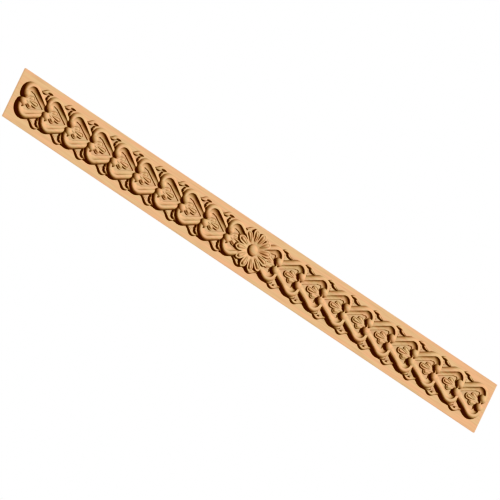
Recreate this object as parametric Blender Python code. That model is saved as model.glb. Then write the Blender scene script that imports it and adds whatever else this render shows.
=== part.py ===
"""A carved wooden moulding, one metre long: two runs of overlapping hearts that meet at a flower.

The board is one piece of wood. It lies along X and stands on edge, with its flat back in the plane
y = 0 and its carved face towards -Y. The origin is the middle of the back.

The carving is the same in all four quarters, so one quarter is carved and then mirrored. In it, x is
the distance from the flower's centre along the board, and z the distance from the board's centre line.
A heart has coordinates of its own: "inward" is counted from the centres of its two balls towards its
tip, which points at the flower, and "aside" is counted from the centre line.
"""
import math

import bmesh
import bpy
import numpy as np

MM = 0.001

# The board
LENGTH = 1000 * MM
WIDTH = 85.7 * MM
GROUND = 4.0 * MM  # wood left behind the ground of the carving

# The run of hearts
HEARTS_A_SIDE = 10
PITCH = 48.1 * MM
FIRST_BALLS = 50.9 * MM  # from the flower's centre to the balls of the nearest heart

# One heart: a rounded band that runs round the lobe and along a straight limb to the tip
LOBE_INWARD = 9.7 * MM
LOBE_ASIDE = 12.6 * MM
LOBE_RADIUS = 10.4 * MM  # to the band's inner edge
LIMB_SLOPE = math.radians(29.9)
LIMB_LENGTH = 32 * MM
BAND_WIDTH = 7.7 * MM
BAND_WIDTH_AT_TIP = 6.8 * MM
BAND_HEIGHT = 9.7 * MM
BAND_HEIGHT_AT_TIP = 5.9 * MM
BAND_DIPS_FROM = 20 * MM
BAND_DIPS_TO = 46 * MM
BAND_LIP = 0.3  # share of the band's width that rolls over to its inner edge
TIP_END = 46.5 * MM  # inward, where the tip is out of sight under the next heart

# The hollow inside the band, and the flat field in its middle
COVE_WIDTH = 7.6 * MM
COVE_WIDTH_AT_LIMB = 6.1 * MM
COVE_NARROWS_OVER = 5 * MM
COVE_FOOT = 3.8 * MM
FIELD_HEIGHT = 2.2 * MM
FIELD_START = 6.0 * MM
STEP_WIDTH = 0.9 * MM

# The two balls that the band curls round
BALL_ASIDE = 7.3 * MM
BALL_RADIUS = 7.35 * MM
BALL_CENTRE_HEIGHT = 4.8 * MM
CURL_RADIUS = 7.8 * MM
CURL_HEIGHT = 8.5 * MM

# The palmette in the field: root, tip, half width and height of each lobe
PALMETTE = (
    ((0.5 * MM, 0.0), (30.4 * MM, 0.0), 5.2 * MM, 3.0 * MM),
    ((2.5 * MM, 1.0 * MM), (20.4 * MM, 7.5 * MM), 5.0 * MM, 2.5 * MM),
)
LOBE_ROOT_SHARE = 0.3  # a lobe's width at its root, as a share of its widest
LOBE_WALL = 0.9 * MM

# The leaf outside the band: Bezier points, half width at the belly and height of each blade,
# in millimetres
LEAF = (
    ((46.8, 29.6), (36.3, 34.5), (34.6, 27.6), (25.6, 25.2), 2.8, 4.6),
    ((37.1, 27.2), (33.1, 28.8), (37.0, 25.6), (25.9, 24.2), 2.7, 4.5),
    ((60.0, 27.5), (46.1, 28.2), (42.8, 24.7), (38.8, 20.2), 3.2, 4.5),
    ((41.3, 25.5), (42.8, 23.3), (41.0, 20.0), (39.2, 15.2), 2.2, 4.9),
)
BLADE_TIP = 0.7 * MM
BLADE_BELLY_BIAS = 0.7  # below 1, the widest place is nearer the root than the tip
BLADE_STEPS = 24

# The flower
PETALS = 12
FLOWER_RADIUS = 34.5 * MM
PETAL_HALF_WIDTH = 6.1 * MM
PETAL_ROOT_SHARE = 0.33
PETAL_STRETCH = 1.15  # length of the petal's end as a share of its half width
PETAL_POINT = 1.45  # 2 gives the petal an oval end, and less a pointed one
PETAL_WALL = 0.9 * MM
PETAL_DROOP = 1.2 * MM  # from the rim of the dish to the petal's tip
DISH_HEIGHT = 5.6 * MM
DISH_RIM_HEIGHT = 9.9 * MM
DISH_RADIUS = 7 * MM
DISH_RIM_RADIUS = 26.5 * MM
EYE_RADIUS = 18 * MM  # inside it the petals have run together
EYE_FALL_START = 9.3 * MM
EYE_FALL = 1.6 * MM
BUTTON_RADIUS = 9.2 * MM
BUTTON_FOOT = 7.0 * MM
BUTTON_HEIGHT = 12.2 * MM

# The mesh
SAMPLE = 0.5 * MM
GOUGE_PASSES = 3  # each rounds the carving by about the sample, as a small gouge does
QUARTER_TRIANGLES = 2400
SHARP = math.radians(38)

WOOD_COLOUR = (0.62, 0.36, 0.17, 1.0)
WOOD_ROUGHNESS = 0.62


def ease(value):
    """Go smoothly from 0 to 1 as value does."""
    share = np.clip(value, 0, 1)
    return share * share * (3 - 2 * share)


def quarter_round(value):
    """Fall from 1 to 0 along a quarter circle as value goes from 0 to 1."""
    return np.sqrt(1 - np.clip(value, 0, 1) ** 2)


def blend(start, end, share):
    return start + (end - start) * share


def band_and_hollow(inward, aside):
    """Height of a heart's band, and of the hollow and field inside it."""
    from_lobe, from_axis = inward - LOBE_INWARD, aside - LOBE_ASIDE
    along = from_lobe * math.cos(LIMB_SLOPE) - from_axis * math.sin(LIMB_SLOPE)
    across = from_lobe * math.sin(LIMB_SLOPE) + from_axis * math.cos(LIMB_SLOPE)
    outward = np.where(along > 0, across, np.hypot(from_lobe, from_axis)) - LOBE_RADIUS

    dip = ease((inward - BAND_DIPS_FROM) / (BAND_DIPS_TO - BAND_DIPS_FROM))
    crest = blend(BAND_HEIGHT, BAND_HEIGHT_AT_TIP, dip)
    width = blend(BAND_WIDTH, BAND_WIDTH_AT_TIP, ease(along / LIMB_LENGTH))
    band = crest * quarter_round((outward / width - BAND_LIP) / (1 - BAND_LIP))

    cove_width = blend(COVE_WIDTH, COVE_WIDTH_AT_LIMB, ease(along / COVE_NARROWS_OVER))
    cove = blend(crest, COVE_FOOT, quarter_round(1 + outward / cove_width))
    into_field = np.minimum(-outward - cove_width, inward - FIELD_START)
    hollow = blend(cove, FIELD_HEIGHT, ease(into_field / STEP_WIDTH + 0.5))
    return np.where(outward > 0, np.where(outward < width, band, 0), hollow)


def heart(inward, aside):
    """Height of one heart with its two balls."""
    from_ball = np.hypot(inward, aside - BALL_ASIDE)
    in_notch = (inward < 0) & (aside < BALL_ASIDE)
    height = np.where(in_notch, 0, band_and_hollow(inward, aside))
    curl = CURL_HEIGHT * quarter_round(from_ball / CURL_RADIUS)
    height = np.maximum(height, curl)
    ball = BALL_CENTRE_HEIGHT + BALL_RADIUS * quarter_round(from_ball / BALL_RADIUS)
    height = np.where(from_ball < BALL_RADIUS, np.maximum(height, ball), height)
    return np.where(inward < TIP_END, height, 0)


def lobe_edge(along, across, length, half_width, root_share, stretch=1.0, point=2.0):
    """Distance inside the outline of a lobe that widens from its root to a round or pointed end."""
    end = length - half_width * stretch
    width = half_width * blend(root_share, 1, ease(along / end))
    past_end = np.clip((along - end) / stretch, 0, None)
    round_end = half_width - (past_end**point + across**point) ** (1 / point)
    inside = np.where(along > end, round_end, width - across)
    return np.where(along > 0, inside, -1)


def palmette(inward, aside):
    """Height of the palmette above the field."""
    height = np.zeros_like(inward)
    for (root_x, root_y), (tip_x, tip_y), half_width, top in PALMETTE:
        length = math.hypot(tip_x - root_x, tip_y - root_y)
        ux, uy = (tip_x - root_x) / length, (tip_y - root_y) / length
        along = (inward - root_x) * ux + (aside - root_y) * uy
        across = np.abs((aside - root_y) * ux - (inward - root_x) * uy)
        edge = lobe_edge(along, across, length, half_width, LOBE_ROOT_SHARE)
        height = np.maximum(height, top * ease(edge / LOBE_WALL))
    return height


def blade(inward, aside, points, belly, top):
    """Height of one blade of a leaf: a round ridge along a Bezier curve."""
    nearest = np.full(inward.shape, np.inf)
    p0, p1, p2, p3 = np.array(points) * MM
    for t in np.linspace(0, 1, BLADE_STEPS):
        s = 1 - t
        place = s**3 * p0 + 3 * s * s * t * p1 + 3 * s * t * t * p2 + t**3 * p3
        width = blend(BLADE_TIP, belly, math.sin(math.pi * t**BLADE_BELLY_BIAS))
        nearest = np.minimum(nearest, np.hypot(inward - place[0], aside - place[1]) / width)
    return top * quarter_round(nearest)


def with_flower(x, z, below):
    """Lay the flower over the carving below it: twelve petals in a shallow dish round a button."""
    radius = np.hypot(x, z)
    step = 2 * math.pi / PETALS
    middle = (np.floor(np.arctan2(z, x) / step) + 0.5) * step
    along = x * np.cos(middle) + z * np.sin(middle)
    across = np.abs(z * np.cos(middle) - x * np.sin(middle))
    edge = lobe_edge(
        along, across, FLOWER_RADIUS, PETAL_HALF_WIDTH, PETAL_ROOT_SHARE, PETAL_STRETCH, PETAL_POINT
    )
    rise = ease((radius - DISH_RADIUS) / (DISH_RIM_RADIUS - DISH_RADIUS))
    droop = PETAL_DROOP * ease((radius - DISH_RIM_RADIUS) / (FLOWER_RADIUS - DISH_RIM_RADIUS))
    dish = blend(DISH_HEIGHT, DISH_RIM_HEIGHT, rise) - droop
    petals = blend(below, dish, ease(edge / PETAL_WALL + 0.5))
    gaps = dish - EYE_FALL * ease((radius - EYE_FALL_START) / (EYE_RADIUS - EYE_FALL_START))
    petals = np.where(radius < EYE_RADIUS, np.maximum(petals, gaps), petals)
    button = blend(BUTTON_FOOT, BUTTON_HEIGHT, quarter_round(radius / BUTTON_RADIUS))
    return np.where(radius < BUTTON_RADIUS, np.maximum(petals, button), petals)


def carving(x, z):
    """Height of the whole carving over its ground, for arrays of places in one quarter."""
    height = np.zeros_like(x)
    for number in range(HEARTS_A_SIDE):
        inward = FIRST_BALLS + number * PITCH - x
        one = heart(inward, z)
        raised = FIELD_HEIGHT + palmette(inward, z)
        in_field = (inward > 0) & (one < BAND_HEIGHT / 2)
        one = np.where(in_field & (one > 0), np.maximum(one, raised), one)
        for *points, belly, top in LEAF:
            one = np.maximum(one, blade(inward, z, points, belly * MM, top * MM))
        height = np.maximum(height, one)
    return with_flower(x, z, height)


def rounded(height):
    """Round the carving as a small gouge leaves it, without moving its outer rows."""
    for _ in range(GOUGE_PASSES):
        padded = np.pad(height, 1, mode="reflect")
        rows = (padded[:-2, 1:-1] + 2 * padded[1:-1, 1:-1] + padded[2:, 1:-1]) / 4
        padded = np.pad(rows, 1, mode="reflect")
        height = (padded[1:-1, :-2] + 2 * padded[1:-1, 1:-1] + padded[1:-1, 2:]) / 4
    return height


def sampled_quarter():
    """Mesh of the carved face of one quarter, sampled on a fine grid."""
    xs = np.linspace(0, LENGTH / 2, round(LENGTH / 2 / SAMPLE) + 1)
    zs = np.linspace(0, WIDTH / 2, round(WIDTH / 2 / SAMPLE) + 1)
    x, z = np.meshgrid(xs, zs, indexing="ij")
    y = -GROUND - rounded(carving(x, z))
    verts = np.stack([x, y, z], axis=-1).reshape(-1, 3)
    corner = np.arange(x.size).reshape(x.shape)[:-1, :-1].ravel()
    columns = len(zs)
    faces = np.stack([corner, corner + columns, corner + columns + 1, corner + 1], axis=-1)
    mesh = bpy.data.meshes.new("fine_quarter")
    mesh.from_pydata(verts.tolist(), [], faces.tolist())
    return mesh


def thinned(mesh, triangles):
    """Return the mesh with about the given number of triangles, most where the carving bends."""
    sheet = bpy.data.objects.new("fine_quarter", mesh)
    bpy.context.collection.objects.link(sheet)
    decimate = sheet.modifiers.new("thin", "DECIMATE")
    decimate.ratio = triangles / (2 * len(mesh.polygons))
    evaluated = sheet.evaluated_get(bpy.context.evaluated_depsgraph_get())
    result = bpy.data.meshes.new_from_object(evaluated)
    bpy.data.objects.remove(sheet)
    bpy.data.meshes.remove(mesh)
    return result


def on_plane(item, axis, place):
    """Tell whether all corners of an edge or a face lie on one plane across an axis."""
    return all(abs(vert.co[axis] - place) < MM / 1000 for vert in item.verts)


def close_quarter(mesh):
    """Put the quarter's rim on its planes, and give it its two outer edges and its back."""
    bm = bmesh.new()
    bm.from_mesh(mesh)
    seams = ((0, 0.0), (2, 0.0))
    outsides = ((0, LENGTH / 2), (2, WIDTH / 2))
    for vert in bm.verts:
        for axis, place in seams + outsides:
            if vert.is_boundary and abs(vert.co[axis] - place) < SAMPLE / 2:
                vert.co[axis] = place
    slivers = [face for face in bm.faces if any(on_plane(face, *seam) for seam in seams)]
    bmesh.ops.delete(bm, geom=slivers, context="FACES")

    outer = [edge for edge in bm.edges
             if edge.is_boundary and any(on_plane(edge, *outside) for outside in outsides)]
    made = bmesh.ops.extrude_edge_only(bm, edges=outer)["geom"]
    behind = [item for item in made if isinstance(item, bmesh.types.BMVert)]
    for vert in behind:
        vert.co.y = 0
    around = sorted(behind, key=lambda vert: math.atan2(vert.co.z, vert.co.x))
    bm.faces.new([bm.verts.new((0, 0, 0))] + around)
    bmesh.ops.recalc_face_normals(bm, faces=bm.faces)
    bmesh.ops.triangulate(bm, faces=bm.faces)
    bm.to_mesh(mesh)
    bm.free()


def wood():
    material = bpy.data.materials.new("limewood")
    material.use_nodes = True
    shader = material.node_tree.nodes["Principled BSDF"]
    shader.inputs["Base Color"].default_value = WOOD_COLOUR
    shader.inputs["Roughness"].default_value = WOOD_ROUGHNESS
    shader.inputs["Metallic"].default_value = 0
    return material


def build():
    for thing in list(bpy.data.objects):
        bpy.data.objects.remove(thing)
    mesh = thinned(sampled_quarter(), QUARTER_TRIANGLES)
    close_quarter(mesh)
    mesh.name = "carved_moulding"
    mesh.materials.append(wood())
    mesh.shade_smooth()
    mesh.set_sharp_from_angle(angle=SHARP)
    moulding = bpy.data.objects.new("carved_moulding", mesh)
    bpy.context.collection.objects.link(moulding)
    mirror = moulding.modifiers.new("four_quarters", "MIRROR")
    mirror.use_axis = (True, False, True)
    mirror.merge_threshold = 0.00001


build()
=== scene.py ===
"""The looks of a carved wooden moulding: hearts in relief on both sides of a flower, in raw pale wood.

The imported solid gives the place, the length, the width and the depth. The carving is worked out again here
from the same named sizes, on a finer mesh and with the finer cuts, and it replaces the solid. Lengths are
in metres. The board lies along X, its flat back is the plane y = 0 and its carving faces -Y.
"""

import logging
import math
from dataclasses import dataclass, field
from enum import Enum
from typing import Callable

import bpy
import numpy as np
from mathutils import Matrix, Vector


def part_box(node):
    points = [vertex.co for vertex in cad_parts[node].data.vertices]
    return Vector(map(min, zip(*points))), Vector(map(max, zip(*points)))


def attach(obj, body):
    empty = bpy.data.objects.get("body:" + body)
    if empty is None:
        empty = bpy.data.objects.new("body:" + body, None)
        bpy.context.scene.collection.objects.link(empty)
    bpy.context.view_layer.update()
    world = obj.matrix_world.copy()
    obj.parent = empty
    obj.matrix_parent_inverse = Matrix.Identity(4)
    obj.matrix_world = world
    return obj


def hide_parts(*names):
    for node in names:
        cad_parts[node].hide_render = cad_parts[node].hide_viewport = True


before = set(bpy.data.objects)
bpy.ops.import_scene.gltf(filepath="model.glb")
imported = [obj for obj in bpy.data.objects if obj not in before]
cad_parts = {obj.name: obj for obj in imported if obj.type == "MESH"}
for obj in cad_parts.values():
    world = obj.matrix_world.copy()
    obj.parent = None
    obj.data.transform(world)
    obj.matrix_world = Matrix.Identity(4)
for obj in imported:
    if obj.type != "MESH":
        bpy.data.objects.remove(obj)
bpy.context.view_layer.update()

MM = 0.001
NODE = "carved_moulding"

Colour = tuple[float, float, float, float]
Size = tuple[float, float, float]
Tones = tuple[tuple[float, float], ...]  # points of a tone curve: linear light before and after

log = logging.getLogger("carved_moulding")


def ease(value: np.ndarray) -> np.ndarray:
    """Go smoothly from 0 to 1 as the value does."""
    share = np.clip(value, 0, 1)
    return share * share * (3 - 2 * share)


def quarter_round(value: np.ndarray) -> np.ndarray:
    """Fall from 1 to 0 along a quarter circle as the value goes from 0 to 1."""
    return np.sqrt(1 - np.clip(value, 0, 1) ** 2)


def blend(start: float, end: float, share: np.ndarray) -> np.ndarray:
    """Mix start and end by a share."""
    return start + (end - start) * share


def ridge(value: np.ndarray) -> np.ndarray:
    """Rise to 1 where the value is 0, and fall to nothing within about 2 of it."""
    return np.exp(-value * value)


@dataclass(frozen=True)
class Lobe:
    """A petal or a palmette's lobe: it widens to a round or pointed end, and has a tongue in it."""

    length: float
    half_width: float
    root_share: float = 0.3
    wall: float = 0.7 * MM
    groove_in: float = 1.6 * MM
    groove_half_width: float = 0.55 * MM
    groove_depth: float = 1.3 * MM
    tongue_rise: float = 0.5 * MM
    cut_start: float = 0.25
    cut_fade: float = 0.2
    stretch: float = 1.0
    point: float = 2.0

    def edge(self, along: np.ndarray, across: np.ndarray) -> np.ndarray:
        """Measure how far a place lies inside the outline.

        Args:
            along: Distance from the root along the lobe.
            across: Distance from the lobe's middle line, never negative.

        Returns:
            The distance inside the outline, negative outside it.
        """
        end = self.length - self.half_width * self.stretch
        width = self.half_width * blend(self.root_share, 1, ease(along / end))
        past_end = np.clip((along - end) / self.stretch, 0, None)
        round_end = self.half_width - (past_end**self.point + across**self.point) ** (1 / self.point)
        inside = np.where(along > end, round_end, width - across)
        return np.where(along > 0, inside, -1)

    def relief(self, edge: np.ndarray, along: np.ndarray) -> np.ndarray:
        """Work out the fine cuts inside the outline.

        Args:
            edge: Distance inside the outline.
            along: Distance from the root along the lobe.

        Returns:
            The height that the groove takes away and the tongue adds.
        """
        fade = ease((along / self.length - self.cut_start) / self.cut_fade)
        groove = self.groove_depth * ridge((edge - self.groove_in) / self.groove_half_width)
        tongue = self.tongue_rise * ease((edge - self.groove_in) / (self.half_width - self.groove_in))
        return (tongue - groove) * fade


@dataclass(frozen=True)
class Palmette:
    """The small three-lobed leaf that springs from between a heart's balls, over the field."""

    middle: Lobe = Lobe(29.9 * MM, 5.2 * MM, groove_in=2.6 * MM, groove_depth=1.1 * MM, tongue_rise=1.1 * MM)
    side: Lobe = Lobe(
        19.1 * MM, 5.0 * MM, groove_in=1.8 * MM, groove_depth=0.9 * MM, tongue_rise=1.3 * MM, cut_start=0.35,
    )
    middle_root: tuple[float, float] = (0.5 * MM, 0.0)
    side_root: tuple[float, float] = (2.5 * MM, 1.0 * MM)
    side_slope: float = 0.35
    middle_height: float = 3.1 * MM
    side_height: float = 2.45 * MM

    def height(self, inward: np.ndarray, aside: np.ndarray) -> np.ndarray:
        """Return the palmette's height above the field."""
        lobes = (
            (self.middle, self.middle_root, 0.0, self.middle_height),
            (self.side, self.side_root, self.side_slope, self.side_height),
        )
        height = np.zeros_like(inward)
        for lobe, root, slope, top in lobes:
            from_root, from_axis = inward - root[0], aside - root[1]
            along = from_root * math.cos(slope) + from_axis * math.sin(slope)
            across = np.abs(from_axis * math.cos(slope) - from_root * math.sin(slope))
            edge = lobe.edge(along, across)
            plate = top * ease(edge / lobe.wall)
            height = np.maximum(height, np.where(edge > 0, plate + lobe.relief(edge, along), 0))
        return height


@dataclass(frozen=True)
class Blade:
    """One blade of a leaf: a round ridge along a Bezier curve, whose points are in millimetres."""

    points: tuple[tuple[float, float], ...]
    belly: float
    top: float
    tip: float = 0.6 * MM
    belly_bias: float = 0.7
    steps: int = 40

    def height(self, inward: np.ndarray, aside: np.ndarray) -> np.ndarray:
        """Return the blade's height over the ground."""
        nearest = np.full(inward.shape, np.inf)
        p0, p1, p2, p3 = np.array(self.points) * MM
        for t in np.linspace(0, 1, self.steps):
            s = 1 - t
            place = s**3 * p0 + 3 * s * s * t * p1 + 3 * s * t * t * p2 + t**3 * p3
            width = blend(self.tip, self.belly, math.sin(math.pi * t**self.belly_bias))
            nearest = np.minimum(nearest, np.hypot(inward - place[0], aside - place[1]) / width)
        return self.top * quarter_round(nearest)


@dataclass(frozen=True)
class Leaf:
    """The leaf in the corner between a heart's limb and the next heart's lobe."""

    blades: tuple[Blade, ...] = (
        Blade(((46.8, 29.6), (36.3, 34.5), (34.6, 27.6), (25.6, 25.2)), 2.8 * MM, 4.6 * MM),
        Blade(((37.1, 27.2), (33.1, 28.8), (37.0, 25.6), (25.9, 24.2)), 2.7 * MM, 4.5 * MM),
        Blade(((60.0, 27.5), (46.1, 28.2), (42.8, 24.7), (38.8, 20.2)), 3.2 * MM, 4.5 * MM),
        Blade(((41.3, 25.5), (42.8, 23.3), (41.0, 20.0), (39.2, 15.2)), 2.2 * MM, 4.9 * MM),
    )

    def height(self, inward: np.ndarray, aside: np.ndarray) -> np.ndarray:
        """Return the leaf's height over the ground."""
        return np.maximum.reduce([blade.height(inward, aside) for blade in self.blades])


@dataclass(frozen=True)
class Heart:
    """One heart, seen from the middle of its two balls: inward to its tip, aside from the centre line."""

    lobe_inward: float = 9.7 * MM
    lobe_aside: float = 12.6 * MM
    lobe_radius: float = 10.4 * MM
    limb_slope: float = math.radians(29.9)
    limb_length: float = 32 * MM
    band_width: float = 7.7 * MM
    band_width_at_tip: float = 6.8 * MM
    band_height: float = 9.7 * MM
    band_height_at_tip: float = 5.9 * MM
    band_dips_from: float = 20 * MM
    band_dips_to: float = 46 * MM
    band_lip: float = 0.3
    tip_end: float = 46.5 * MM
    cove_width: float = 7.6 * MM
    cove_width_at_limb: float = 6.1 * MM
    cove_narrows_over: float = 5 * MM
    cove_foot: float = 3.8 * MM
    field_height: float = 2.25 * MM
    field_start: float = 6.0 * MM
    step_width: float = 0.35 * MM
    ball_aside: float = 7.3 * MM
    ball_radius: float = 7.35 * MM
    ball_centre_height: float = 4.8 * MM
    curl_radius: float = 7.8 * MM
    curl_height: float = 8.5 * MM
    palmette: Palmette = Palmette()
    leaf: Leaf = Leaf()

    def band_and_hollow(self, inward: np.ndarray, aside: np.ndarray) -> np.ndarray:
        """Return the height of the band, and of the hollow and the field inside it."""
        from_lobe, from_axis = inward - self.lobe_inward, aside - self.lobe_aside
        along = from_lobe * math.cos(self.limb_slope) - from_axis * math.sin(self.limb_slope)
        across = from_lobe * math.sin(self.limb_slope) + from_axis * math.cos(self.limb_slope)
        outward = np.where(along > 0, across, np.hypot(from_lobe, from_axis)) - self.lobe_radius

        dip = ease((inward - self.band_dips_from) / (self.band_dips_to - self.band_dips_from))
        crest = blend(self.band_height, self.band_height_at_tip, dip)
        width = blend(self.band_width, self.band_width_at_tip, ease(along / self.limb_length))
        band = crest * quarter_round((outward / width - self.band_lip) / (1 - self.band_lip))

        cove_width = blend(self.cove_width, self.cove_width_at_limb, ease(along / self.cove_narrows_over))
        cove = blend(crest, self.cove_foot, quarter_round(1 + outward / cove_width))
        into_field = np.minimum(-outward - cove_width, inward - self.field_start)
        hollow = blend(cove, self.field_height, ease(into_field / self.step_width + 0.5))
        return np.where(outward > 0, np.where(outward < width, band, 0), hollow)

    def height(self, inward: np.ndarray, aside: np.ndarray) -> np.ndarray:
        """Return the height of the heart with its balls, its palmette and its leaf."""
        from_ball = np.hypot(inward, aside - self.ball_aside)
        in_notch = (inward < 0) & (aside < self.ball_aside)
        height = np.where(in_notch, 0, self.band_and_hollow(inward, aside))
        height = np.maximum(height, self.curl_height * quarter_round(from_ball / self.curl_radius))
        ball = self.ball_centre_height + self.ball_radius * quarter_round(from_ball / self.ball_radius)
        height = np.where(from_ball < self.ball_radius, np.maximum(height, ball), height)
        height = np.where(inward < self.tip_end, height, 0)

        in_field = (inward > 0) & (height > 0) & (height < self.band_height / 2)
        raised = self.field_height + self.palmette.height(inward, aside)
        height = np.where(in_field, np.maximum(height, raised), height)
        return np.maximum(height, self.leaf.height(inward, aside))


@dataclass(frozen=True)
class Flower:
    """The flower in the middle: petals that rise from a shallow dish round a button, and droop."""

    petals: int = 12
    petal: Lobe = Lobe(
        34.5 * MM, 6.1 * MM, root_share=0.33, wall=0.7 * MM, stretch=1.15, point=1.45, groove_in=3.15 * MM,
        groove_half_width=0.58 * MM, groove_depth=0.9 * MM, tongue_rise=1.4 * MM, cut_start=0.265,
    )
    dish_height: float = 5.6 * MM
    rim_height: float = 9.9 * MM
    dish_radius: float = 7 * MM
    rim_radius: float = 26.5 * MM
    droop: float = 1.2 * MM
    eye_radius: float = 18 * MM
    eye_fall_start: float = 9.3 * MM
    eye_fall: float = 1.6 * MM
    button_radius: float = 9.2 * MM
    button_foot: float = 7.0 * MM
    button_height: float = 12.2 * MM

    def over(self, x: np.ndarray, z: np.ndarray, below: np.ndarray) -> np.ndarray:
        """Lay the flower over the carving.

        Args:
            x: Distance from the flower's centre along the board.
            z: Distance from the centre line.
            below: Height of the carving without the flower.

        Returns:
            Height of the carving with the flower on it.
        """
        radius = np.hypot(x, z)
        step = 2 * math.pi / self.petals
        middle = (np.floor(np.arctan2(z, x) / step) + 0.5) * step
        along = x * np.cos(middle) + z * np.sin(middle)
        across = np.abs(z * np.cos(middle) - x * np.sin(middle))
        edge = self.petal.edge(along, across)
        rise = ease((radius - self.dish_radius) / (self.rim_radius - self.dish_radius))
        droop = self.droop * ease((radius - self.rim_radius) / (self.petal.length - self.rim_radius))
        dish = blend(self.dish_height, self.rim_height, rise) - droop
        cut = np.where(edge > 0, self.petal.relief(edge, along), 0)
        petals = blend(below, dish + cut, ease(edge / self.petal.wall + 0.5))
        fall = ease((radius - self.eye_fall_start) / (self.eye_radius - self.eye_fall_start))
        petals = np.where(radius < self.eye_radius, np.maximum(petals, dish - self.eye_fall * fall), petals)
        button = blend(self.button_foot, self.button_height, quarter_round(radius / self.button_radius))
        return np.where(radius < self.button_radius, np.maximum(petals, button), petals)


@dataclass(frozen=True)
class Carving:
    """The whole ornament, in the quarter where x and z aren't negative."""

    hearts: int = 10
    pitch: float = 48.1 * MM
    first_balls: float = 50.9 * MM
    reach_outward: float = 12 * MM
    reach_inward: float = 64 * MM
    heart: Heart = Heart()
    flower: Flower = Flower()

    def height(self, x: np.ndarray, z: np.ndarray) -> np.ndarray:
        """Return the height of the carving over its ground."""
        height = np.zeros_like(x)
        for number in range(self.hearts):
            inward = self.first_balls + number * self.pitch - x
            near = (inward > -self.reach_outward) & (inward < self.reach_inward)
            height[near] = np.maximum(height[near], self.heart.height(inward[near], z[near]))
        return self.flower.over(x, z, height)


def softened(height: np.ndarray, passes: int) -> np.ndarray:
    """Round a height map as a small gouge leaves it.

    Args:
        height: Heights on a square grid.
        passes: How often each height is mixed with its neighbours.

    Returns:
        The rounded heights.
    """
    for _ in range(passes):
        padded = np.pad(height, 1, mode="reflect")
        rows = (padded[:-2, 1:-1] + 2 * padded[1:-1, 1:-1] + padded[2:, 1:-1]) / 4
        padded = np.pad(rows, 1, mode="reflect")
        height = (padded[1:-1, :-2] + 2 * padded[1:-1, 1:-1] + padded[1:-1, 2:]) / 4
    return height


class Face(Enum):
    """The sides that the board's rim is picked by: an axis, and the low or the high side of the box."""

    TOP = (2, 1)
    BOTTOM = (2, 0)
    RIGHT = (0, 1)
    LEFT = (0, 0)


def deselect_all() -> None:
    """Leave nothing selected, so that an operator acts on its own piece alone."""
    if bpy.context.object and bpy.context.object.mode != "OBJECT":
        bpy.ops.object.mode_set(mode="OBJECT")
    bpy.ops.object.select_all(action="DESELECT")


def apply_modifier(piece: bpy.types.Object, kind: str, **settings: object) -> None:
    """Add a modifier to a piece and apply it.

    Args:
        piece: The object to change.
        kind: Blender's name of the modifier's type.
        **settings: Values of the modifier's properties.
    """
    deselect_all()
    bpy.context.view_layer.objects.active = piece
    piece.select_set(True)
    modifier = piece.modifiers.new(kind.lower(), kind)
    for name, value in settings.items():
        setattr(modifier, name, value)
    bpy.ops.object.modifier_apply(modifier=modifier.name)


class Socket:
    """A shader value that Python's operators turn into Math nodes."""

    def __init__(self, tree: bpy.types.NodeTree, link: bpy.types.NodeSocket) -> None:
        """Keep the node tree and the output socket."""
        self.tree = tree
        self.link = link

    def _math(self, operation: str, *values: "Socket | float", clamp: bool = False) -> "Socket":
        """Add a Math node on some values and return its output."""
        node = self.tree.nodes.new("ShaderNodeMath")
        node.operation = operation
        node.use_clamp = clamp
        for socket, value in zip(node.inputs, values):
            if isinstance(value, Socket):
                self.tree.links.new(value.link, socket)
            else:
                socket.default_value = value
        return Socket(self.tree, node.outputs[0])

    def __add__(self, other: "Socket | float") -> "Socket":
        """Add."""
        return self._math("ADD", self, other)

    def __sub__(self, other: "Socket | float") -> "Socket":
        """Subtract."""
        return self._math("SUBTRACT", self, other)

    def __rsub__(self, other: float) -> "Socket":
        """Subtract from a number."""
        return self._math("SUBTRACT", other, self)

    def __mul__(self, other: "Socket | float") -> "Socket":
        """Multiply."""
        return self._math("MULTIPLY", self, other)

    def __truediv__(self, other: "Socket | float") -> "Socket":
        """Divide."""
        return self._math("DIVIDE", self, other)

    def __pow__(self, other: float) -> "Socket":
        """Raise to a power."""
        return self._math("POWER", self, other)

    __radd__ = __add__
    __rmul__ = __mul__

    def sine(self) -> "Socket":
        """Take the sine."""
        return self._math("SINE", self)

    def clamped(self) -> "Socket":
        """Hold the value between 0 and 1."""
        return self._math("ADD", self, 0.0, clamp=True)


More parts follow.
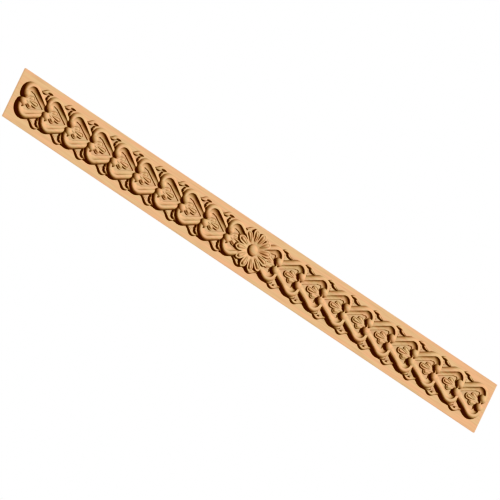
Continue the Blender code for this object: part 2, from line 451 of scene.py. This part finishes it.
class Nodes:
    """A material's nodes, added one by one."""

    def __init__(self, name: str) -> None:
        """Make an empty material with its shader."""
        self.material = bpy.data.materials.new(name)
        self.material.use_nodes = True
        self.tree = self.material.node_tree
        self.shader = self.tree.nodes["Principled BSDF"]

    def plug(self, value: "Socket | float | tuple[float, ...]", socket: bpy.types.NodeSocket) -> None:
        """Link a socket to a value, or set it."""
        if isinstance(value, Socket):
            self.tree.links.new(value.link, socket)
        else:
            socket.default_value = value

    def node(self, kind: str, output: str, settings: dict | None = None, **inputs: object) -> Socket:
        """Add a node.

        Args:
            kind: The node's type.
            output: Name of the output that is wanted.
            settings: Properties that are set before its sockets.
            **inputs: Values or links by socket name, with _ for a space.

        Returns:
            The output as a socket.
        """
        node = self.tree.nodes.new(kind)
        for name, value in (settings or {}).items():
            setattr(node, name, value)
        for name, value in inputs.items():
            self.plug(value, node.inputs[name.replace("_", " ")])
        return Socket(self.tree, node.outputs[output])

    def mix(self, share: "Socket | float", first: "Socket | tuple", second: "Socket | tuple") -> Socket:
        """Mix two colours."""
        node = self.tree.nodes.new("ShaderNodeMix")
        node.data_type = "RGBA"
        self.plug(share, node.inputs[0])
        self.plug(first, node.inputs[6])
        self.plug(second, node.inputs[7])
        return Socket(self.tree, node.outputs[2])

    def noise(self, where: Socket, size: Size, detail: float = 2.0) -> Socket:
        """Sample noise whose blotches have the given size along X, Y and Z, in metres."""
        scale = tuple(1 / length for length in size)
        stretched = self.node("ShaderNodeMapping", "Vector", Vector=where, Scale=scale)
        return self.node("ShaderNodeTexNoise", "Fac", Vector=stretched, Scale=1.0, Detail=detail)


@dataclass(frozen=True)
class RawWood:
    """Pale close-grained wood, sanded but not finished, with the grain along the board, and with painted
    shade darkening its narrow cuts.
    """

    light: Colour = (0.485, 0.304, 0.134, 1.0)
    rosy: Colour = (0.525, 0.277, 0.128, 1.0)
    line: Colour = (0.40, 0.215, 0.085, 1.0)
    # Painted shade: the colour laid into narrow cuts and creases, and how much of it is laid on.
    deep: Colour = (0.085, 0.030, 0.006, 1.0)
    crease_shade_share: float = 0.45
    ring_width: float = 3.2 * MM
    ring_waver: float = 15.6 * MM
    ring_slant: float = 1.7
    waver_size: Size = (180 * MM, 30 * MM, 22 * MM)
    blotch_size: Size = (60 * MM, 10 * MM, 5 * MM)
    band_size: Size = (55 * MM, 4 * MM, 2.5 * MM)
    streak_size: Size = (24 * MM, 0.8 * MM, 0.6 * MM)
    fibre_size: Size = (5 * MM, 0.22 * MM, 0.2 * MM)
    rosy_from: float = 0.42
    rosy_slope: float = 6.0
    ring_sharpness: float = 3.0
    ring_share: float = 0.2
    band_share: float = 1.8
    streak_share: float = 0.9
    fibre_share: float = 0.5
    roughness: float = 0.6
    roughness_spread: float = 0.2
    shine: float = 0.1
    fibre_relief: float = 0.15 * MM
    fibre_strength: float = 0.35

    def material(self) -> bpy.types.Material:
        """Build the wood's material."""
        nodes = Nodes("raw_wood")
        where = nodes.node("ShaderNodeTexCoord", "Object")
        nodes.shader.inputs["Metallic"].default_value = 0.0
        nodes.shader.inputs["Specular IOR Level"].default_value = self.shine

        split = nodes.tree.nodes.new("ShaderNodeSeparateXYZ")
        nodes.plug(where, split.inputs[0])
        across = Socket(nodes.tree, split.outputs["Z"])
        depth = Socket(nodes.tree, split.outputs["Y"])
        waver = nodes.noise(where, self.waver_size, 3.0) - 0.5
        rings = (across + depth * self.ring_slant + waver * self.ring_waver) / self.ring_width
        ring = ((rings * (2 * math.pi)).sine() * 0.5 + 0.5) ** self.ring_sharpness
        blotch = nodes.noise(where, self.blotch_size)
        band = nodes.noise(where, self.band_size)
        streak = nodes.noise(where, self.streak_size, 3.0)
        fibre = nodes.noise(where, self.fibre_size)

        ground = nodes.mix(((blotch - self.rosy_from) * self.rosy_slope).clamped(), self.light, self.rosy)
        dark = (
            ring * self.ring_share + (band - 0.45) * self.band_share
            + (streak - 0.45) * self.streak_share + (fibre - 0.5) * self.fibre_share
        )
        lined = nodes.mix(dark.clamped(), ground, self.line)
        # Painted shade: the wood's colour darkens towards deep brown in narrow cuts, where shade falls.
        hollow = nodes.node("ShaderNodeAttribute", "Fac", {"attribute_name": "hollow"})
        colour = nodes.mix(hollow.clamped() * self.crease_shade_share, lined, self.deep)
        nodes.plug(colour, nodes.shader.inputs["Base Color"])
        nodes.plug(self.roughness + (streak - 0.5) * self.roughness_spread, nodes.shader.inputs["Roughness"])
        height = streak * 0.6 + fibre * 0.4
        bump = nodes.node(
            "ShaderNodeBump", "Normal",
            Height=height, Strength=self.fibre_strength, Distance=self.fibre_relief,
        )
        nodes.plug(bump, nodes.shader.inputs["Normal"])
        return nodes.material


@dataclass
class Moulding:
    """The carved board, one piece of wood."""

    low: Vector
    high: Vector
    carving: Carving = field(default_factory=Carving)
    finish: RawWood = field(default_factory=RawWood)
    ground: float = 4.0 * MM
    sample: float = 0.25 * MM
    gouge_passes: int = 1
    quarter_triangles: int = 47500
    smooth_angle: float = math.radians(50)
    # Reach and depth of the narrow cuts that get painted shade.
    hollow_reach: int = 3
    hollow_depth: float = 0.8 * MM
    broad: float = 1.2 * MM
    foot: float = 0.12 * MM
    level_angle: float = math.radians(6)

    def rounded_heights(self) -> tuple[np.ndarray, np.ndarray, np.ndarray]:
        """Work out the carving on the grid of one quarter.

        Returns:
            Heights over the ground, and the places of the grid along the board and across it.
        """
        xs = np.linspace(0, self.high.x, round(self.high.x / self.sample) + 1)
        zs = np.linspace(0, self.high.z, round(self.high.z / self.sample) + 1)
        x, z = np.meshgrid(xs, zs, indexing="ij")
        heights = softened(self.carving.height(x, z), self.gouge_passes)
        return np.where(heights < self.foot, 0, heights), xs, zs

    def carve_quarter(self, heights: np.ndarray, xs: np.ndarray, zs: np.ndarray) -> bpy.types.Object:
        """Shape a fine grid into one quarter of the carved face.

        Args:
            heights: Heights over the ground, on the grid of the quarter.
            xs: Places of the grid along the board.
            zs: Places of the grid across the board.

        Returns:
            The carved face of the quarter.
        """
        deselect_all()
        bpy.ops.mesh.primitive_grid_add(
            x_subdivisions=len(xs) - 1, y_subdivisions=len(zs) - 1, size=1,
            location=(self.high.x / 2, -self.ground, self.high.z / 2), rotation=(math.pi / 2, 0, 0),
        )
        piece = bpy.context.object
        bpy.ops.transform.resize(value=(self.high.x, 1, self.high.z))
        bpy.ops.object.transform_apply(location=True, rotation=True, scale=True)
        verts = np.empty(len(piece.data.vertices) * 3)
        piece.data.vertices.foreach_get("co", verts)
        verts = verts.reshape(-1, 3)
        columns = np.rint(verts[:, 0] / self.high.x * (len(xs) - 1)).astype(int)
        rows = np.rint(verts[:, 2] / self.high.z * (len(zs) - 1)).astype(int)
        verts[:, 1] = -self.ground - heights[columns, rows]
        piece.data.vertices.foreach_set("co", verts.ravel())
        piece.data.update()
        return piece

    def thin(self, piece: bpy.types.Object) -> None:
        """Thin the quarter's mesh, and put its rim back on its planes."""
        ratio = self.quarter_triangles / (2 * len(piece.data.polygons))
        apply_modifier(piece, "DECIMATE", ratio=ratio)
        verts = np.empty(len(piece.data.vertices) * 3)
        piece.data.vertices.foreach_get("co", verts)
        verts = verts.reshape(-1, 3)
        for axis, place in ((0, 0.0), (2, 0.0), (0, self.high.x), (2, self.high.z)):
            near = np.abs(verts[:, axis] - place) < self.sample / 2
            verts[near, axis] = place
        piece.data.vertices.foreach_set("co", verts.ravel())

    def select_rim(self, piece: bpy.types.Object, pick: Callable[[Vector], bool]) -> None:
        """Select, in edit mode, the edges whose two ends are picked.

        Args:
            piece: The board.
            pick: Tells whether a place belongs to the rim.
        """
        deselect_all()
        bpy.context.view_layer.objects.active = piece
        piece.select_set(True)
        bpy.ops.object.mode_set(mode="EDIT")
        bpy.ops.mesh.select_mode(type="EDGE")
        bpy.ops.mesh.select_all(action="DESELECT")
        bpy.ops.object.mode_set(mode="OBJECT")
        for edge in piece.data.edges:
            edge.select = all(pick(piece.data.vertices[index].co) for index in edge.vertices)
        bpy.ops.object.mode_set(mode="EDIT")

    def on_side(self, place: Vector, face: Face) -> bool:
        """Tell whether a place lies on one side of the board's box."""
        axis, side = face.value
        return abs(place[axis] - (self.low, self.high)[side][axis]) < MM / 100

    def close(self, piece: bpy.types.Object) -> None:
        """Mirror the quarter, and give the board its edges and its flat back."""
        apply_modifier(piece, "MIRROR", use_axis=(True, False, True), merge_threshold=MM / 100)
        self.select_rim(piece, lambda place: any(self.on_side(place, face) for face in Face))
        bpy.ops.mesh.extrude_edges_move(TRANSFORM_OT_translate={"value": (0, self.ground, 0)})
        bpy.ops.mesh.edge_face_add()
        bpy.ops.mesh.select_all(action="SELECT")
        bpy.ops.mesh.normals_make_consistent(inside=False)
        bpy.ops.object.mode_set(mode="OBJECT")

    def part_from_ground(self, piece: bpy.types.Object) -> None:
        """Mark the foot of the carving as sharp, so that no shade runs out over the flat ground."""
        deselect_all()
        bpy.context.view_layer.objects.active = piece
        bpy.ops.object.mode_set(mode="EDIT")
        bpy.ops.mesh.select_mode(type="FACE")
        bpy.ops.mesh.select_all(action="DESELECT")
        bpy.ops.object.mode_set(mode="OBJECT")
        for face in piece.data.polygons:
            level = abs(face.center.y + self.ground) < self.foot
            face.select = level and face.normal.y < -math.cos(self.level_angle)
        bpy.ops.object.mode_set(mode="EDIT")
        bpy.ops.mesh.region_to_loop()
        bpy.ops.mesh.mark_sharp()
        bpy.ops.object.mode_set(mode="OBJECT")

    def crease_shade_map(self, heights: np.ndarray) -> np.ndarray:
        """Work out how deep each place of the grid lies in a narrow cut, from 0 to 1, for the shade that is
        painted into the cuts.
        """
        reach = self.hollow_reach
        padded = np.pad(heights, reach, mode="reflect")
        total = np.pad(padded.cumsum(0).cumsum(1), ((1, 0), (1, 0)))
        side = 2 * reach + 1
        around = total[side:, side:] - total[:-side, side:] - total[side:, :-side] + total[:-side, :-side]
        return np.clip((around / side**2 - heights) / self.hollow_depth, 0, 1)

    def mark(self, piece: bpy.types.Object, name: str, values: np.ndarray) -> None:
        """Store a map of the quarter on the corners of the carved face's triangles, for the painted shade in
        the wood's colour.

        A broad triangle, or a long one on the ground, spans plain wood from one cut to the next, so it takes
        the least of its corners, and no cut's painted shade runs out over the ground.

        Args:
            piece: The board.
            name: Name of the attribute.
            values: The map, on the grid of the quarter.
        """
        mesh = piece.data
        verts, corners = np.empty(len(mesh.vertices) * 3), np.empty(len(mesh.loops), dtype=np.int32)
        starts, totals = np.empty((2, len(mesh.polygons)), dtype=np.int32)
        areas = np.empty(len(mesh.polygons))
        mesh.vertices.foreach_get("co", verts)
        mesh.loops.foreach_get("vertex_index", corners)
        mesh.polygons.foreach_get("loop_start", starts)
        mesh.polygons.foreach_get("loop_total", totals)
        mesh.polygons.foreach_get("area", areas)
        verts = verts.reshape(-1, 3)
        columns = np.clip(np.rint(np.abs(verts[:, 0]) / self.sample), 0, values.shape[0] - 1).astype(int)
        rows = np.clip(np.rint(np.abs(verts[:, 2]) / self.sample), 0, values.shape[1] - 1).astype(int)
        marks = np.where(verts[:, 1] > -self.ground + MM / 100, 0, values[columns, rows])

        face = np.repeat(np.arange(len(starts)), totals)
        following = starts[face] + (np.arange(len(corners)) - starts[face] + 1) % totals[face]
        edges = np.linalg.norm(verts[corners] - verts[corners[following]], axis=1)
        across = 2 * areas / np.maximum.reduceat(edges, starts)
        least = np.minimum.reduceat(marks[corners], starts)
        level = np.minimum.reduceat(verts[corners, 1], starts) > -self.ground - 2 * self.foot
        plain = (across > self.broad) | (level & (np.maximum.reduceat(edges, starts) > 2 * self.broad))
        shown = np.where(plain[face], least[face], marks[corners])
        layer = mesh.attributes.new(name, "FLOAT", "CORNER")
        layer.data.foreach_set("value", shown.astype(np.float32))

    def build(self) -> bpy.types.Object:
        """Build the board and put it in place of the solid.

        Returns:
            The finished object.
        """
        heights, xs, zs = self.rounded_heights()
        piece = self.carve_quarter(heights, xs, zs)
        piece.name = "moulding_board"
        piece.data.name = piece.name
        log.info("carved a quarter with %d faces", len(piece.data.polygons))
        self.thin(piece)
        self.close(piece)
        # Painted shade for the narrow cuts, stored on the carved face as the attribute hollow.
        self.mark(piece, "hollow", self.crease_shade_map(heights))
        deselect_all()
        piece.select_set(True)
        bpy.context.view_layer.objects.active = piece
        bpy.ops.object.shade_smooth_by_angle(angle=self.smooth_angle)
        self.part_from_ground(piece)
        apply_modifier(piece, "WEIGHTED_NORMAL", keep_sharp=True, weight=60)
        piece.data.materials.append(self.finish.material())
        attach(piece, "root")
        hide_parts(NODE)
        return piece


@dataclass
class Studio:
    """The camera at the photograph's viewing angle, a pale floor and soft light."""

    right: Vector = field(default_factory=lambda: Vector((0.7353, -0.533, 0.418)))
    up: Vector = field(default_factory=lambda: Vector((-0.4945, 0.0, 0.8689)))
    picture_width: float = 780.4 * MM
    ground: float = 4.0 * MM
    distance: float = 1.3
    floor_height: float = -1.15
    floor_size: float = 12.0
    floor_dark: Colour = (0.82, 0.82, 0.81, 1.0)
    floor_light: Colour = (0.86, 0.86, 0.85, 1.0)
    aim_right: float = -0.3 * MM
    aim_up: float = 0.6 * MM
    towards_key: Vector = field(default_factory=lambda: Vector((0.45, -0.78, 0.43)))
    key_strength: float = 6.4
    towards_back: Vector = field(default_factory=lambda: Vector((-0.55, 0.60, -0.58)))
    back_strength: float = 8.0
    lamp_spread: float = math.radians(3)
    fill_strength: float = 0.08
    fill_colour: Colour = (1.0, 0.50, 0.16, 1.0)
    red_tones: Tones = ((0.027, 0.035), (0.084, 0.076), (0.296, 0.245), (0.56, 0.55), (0.84, 0.823))
    green_tones: Tones = ((0.0395, 0.0195), (0.162, 0.105), (0.309, 0.296), (0.413, 0.425), (0.50, 0.50))
    blue_tones: Tones = ((0.0159, 0.0015), (0.0723, 0.030), (0.141, 0.127), (0.191, 0.205), (0.24, 0.25))

    def place_camera(self) -> None:
        """Look at the middle of the ground from the lower left, without perspective."""
        data = bpy.data.cameras.new("camera")
        data.type = "ORTHO"
        data.ortho_scale = self.picture_width
        right = self.right.normalized()
        back = right.cross(self.up).normalized()
        up = back.cross(right)
        camera = bpy.data.objects.new("camera", data)
        turn = Matrix((right, up, back)).transposed().to_4x4()
        centre = Vector((0, -self.ground, 0)) + right * self.aim_right + up * self.aim_up
        camera.matrix_world = Matrix.Translation(centre + back * self.distance) @ turn
        bpy.context.scene.collection.objects.link(camera)
        bpy.context.scene.camera = camera

    def lay_floor(self) -> None:
        """Lay a plain pale floor well below the board."""
        deselect_all()
        bpy.ops.mesh.primitive_plane_add(size=self.floor_size, location=(0, 0, self.floor_height))
        floor = bpy.context.object
        floor.name = "floor"
        nodes = Nodes("pale_floor")
        where = nodes.node("ShaderNodeTexCoord", "Object")
        cloud = nodes.noise(where, (0.4, 0.4, 0.4))
        nodes.plug(nodes.mix(cloud, self.floor_dark, self.floor_light), nodes.shader.inputs["Base Color"])
        nodes.shader.inputs["Roughness"].default_value = 0.8
        floor.data.materials.append(nodes.material)
        floor.visible_diffuse = floor.visible_shadow = False

    def hang(self, name: str, towards: Vector, strength: float, shadow: bool) -> None:
        """Hang a distant lamp.

        Its light isn't reflected from wood to wood, so that the cuts stay as dark as in the photograph.

        Args:
            name: The lamp's name.
            towards: Direction from the board to the lamp.
            strength: The lamp's strength.
            shadow: Whether the board stops its light.
        """
        data = bpy.data.lights.new(name, "SUN")
        data.energy = strength
        data.angle = self.lamp_spread
        data.use_shadow = shadow
        data.cycles.max_bounces = 0
        lamp = bpy.data.objects.new(name, data)
        lamp.rotation_euler = towards.to_track_quat("Z", "Y").to_euler()
        bpy.context.scene.collection.objects.link(lamp)

    def light(self) -> None:
        """Light the carving from the right, and the sides turned to the camera, with a soft warm fill."""
        self.hang("key", self.towards_key, self.key_strength, False)
        self.hang("back", self.towards_back, self.back_strength, True)

        world = bpy.data.worlds.new("studio")
        world.use_nodes = True
        tree = world.node_tree
        fill = tree.nodes["Background"]
        fill.inputs["Color"].default_value = self.fill_colour
        fill.inputs["Strength"].default_value = self.fill_strength
        backdrop = tree.nodes.new("ShaderNodeBackground")
        backdrop.inputs["Color"].default_value = (1, 1, 1, 1)
        backdrop.inputs["Strength"].default_value = 1.0
        path = tree.nodes.new("ShaderNodeLightPath")
        choose = tree.nodes.new("ShaderNodeMixShader")
        tree.links.new(path.outputs["Is Camera Ray"], choose.inputs[0])
        tree.links.new(fill.outputs[0], choose.inputs[1])
        tree.links.new(backdrop.outputs[0], choose.inputs[2])
        tree.links.new(choose.outputs[0], tree.nodes["World Output"].inputs["Surface"])
        bpy.context.scene.world = world

    def print_tones(self) -> None:
        """Give the picture the photograph's tones, with deep, warm shades."""
        view = bpy.context.scene.view_settings
        view.view_transform = "Standard"
        view.use_curve_mapping = True
        tones = (self.red_tones, self.green_tones, self.blue_tones)
        for curve, places in zip(view.curve_mapping.curves, tones):
            for place in places:
                curve.points.new(*place)
        view.curve_mapping.update()

    def build(self) -> None:
        """Set up the camera, the floor, the light and the picture's tones."""
        self.place_camera()
        self.lay_floor()
        self.light()
        self.print_tones()


def main() -> None:
    """Build the studio and the moulding, and report the piece."""
    logging.basicConfig(level=logging.INFO)
    Studio().build()
    low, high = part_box(NODE)
    board = Moulding(low, high).build()
    log.info("%s: %d faces", board.name, len(board.data.polygons))


if __name__ == "__main__":
    main()
